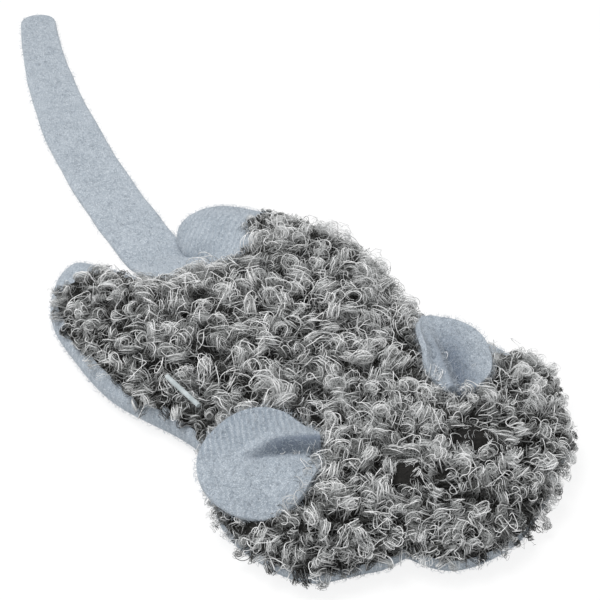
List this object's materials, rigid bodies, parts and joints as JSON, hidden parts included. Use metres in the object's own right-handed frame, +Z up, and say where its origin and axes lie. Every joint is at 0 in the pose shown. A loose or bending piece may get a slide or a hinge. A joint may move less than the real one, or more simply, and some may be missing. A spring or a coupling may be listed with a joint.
{
  "type": "catnip mouse",
  "caption": "Flat stuffed catnip mouse for a cat, with a curly grey plush back, a fleece belly, round fleece ears, black eyes and a long fleece strip for a tail.",
  "frame": {"origin": "middle of the flat belly, on the surface that the toy lies on", "axes": "-Y towards the snout, +Y along the tail, +X towards the mouse's left, +Z up"},
  "size_m": [0.0838, 0.2401, 0.0171],
  "materials": {
    "fleece": "soft pale blue-grey fleece",
    "curly_plush": "curly grey plush with white strands",
    "filling": "white fibre",
    "dried_leaf": "dried leaf",
    "thread": "pale grey thread",
    "eye_black": "matte black stitching",
    "pin_plastic": "clear milky plastic"
  },
  "bodies": {
    "body": {"fleece_base_panel": "fleece", "curly_top_panel": "curly_plush", "fibre_filling": "filling", "catnip_fill": "dried_leaf", "rim_seam_thread": "thread", "closing_stitch": "thread", "right_ear_stitching": "thread", "left_ear_stitching": "thread", "tail_stitching": "thread", "right_eye": "eye_black", "left_eye": "eye_black", "tag_pin": "pin_plastic"},
    "right_ear": {"right_ear": "fleece"},
    "left_ear": {"left_ear": "fleece"},
    "tail": {"tail": "fleece"}
  },
  "joints": [
    {"name": "right_ear_fold", "type": "hinge", "parent": "body", "child": "right_ear", "pos_m": [-0.0174, -0.026, 0.0132], "axis": [0.5, 0.866, 0], "range_deg": [0, 80], "stiffness_Nm_per_rad": 0.0008},
    {"name": "left_ear_fold", "type": "hinge", "parent": "body", "child": "left_ear", "pos_m": [0.0128, -0.029, 0.0132], "axis": [0.887, -0.4617, 0], "range_deg": [0, 80], "stiffness_Nm_per_rad": 0.0008},
    {"name": "tail_lift", "type": "hinge", "parent": "body", "child": "tail", "pos_m": [0, 0.0456, 0.0046], "axis": [1, 0, 0], "range_deg": [-60, 110]}
  ]
}
